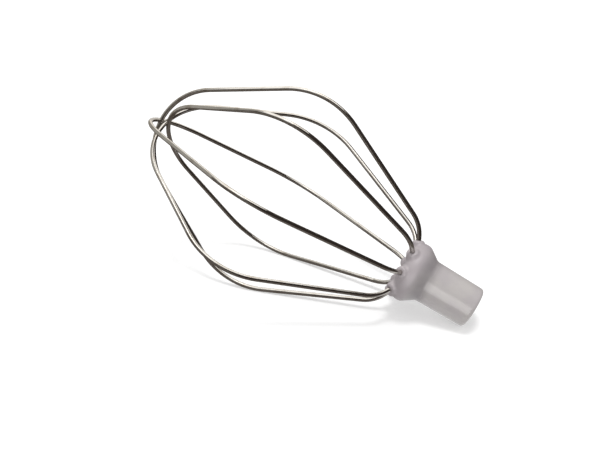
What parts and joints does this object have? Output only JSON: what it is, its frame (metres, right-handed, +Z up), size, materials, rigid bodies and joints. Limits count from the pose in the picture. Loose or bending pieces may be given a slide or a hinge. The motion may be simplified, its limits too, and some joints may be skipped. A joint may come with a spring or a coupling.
{
  "type": "stand mixer wire whisk",
  "caption": "Balloon whisk for a stand mixer: bent steel wire loops that cross at the tip, held in a moulded hub whose sleeve slides on the mixer's drive shaft.",
  "frame": {"origin": "on the table under the middle of the whisk's box, as it lies at rest", "axes": "+Z up; +X along the whisk over the table, from the raised tip towards the hub; the whisk's own axis lies in the XZ plane, leaning down towards +X"},
  "size_m": [0.1738, 0.0964, 0.0959],
  "materials": {
    "hub_plastic": "satin",
    "wire_steel": "polished"
  },
  "bodies": {
    "root": {"hub": "hub_plastic", "wire_loop_1": "wire_steel", "wire_loop_2": "wire_steel", "wire_loop_3": "wire_steel", "wire_loop_4": "wire_steel"}
  },
  "joints": []
}
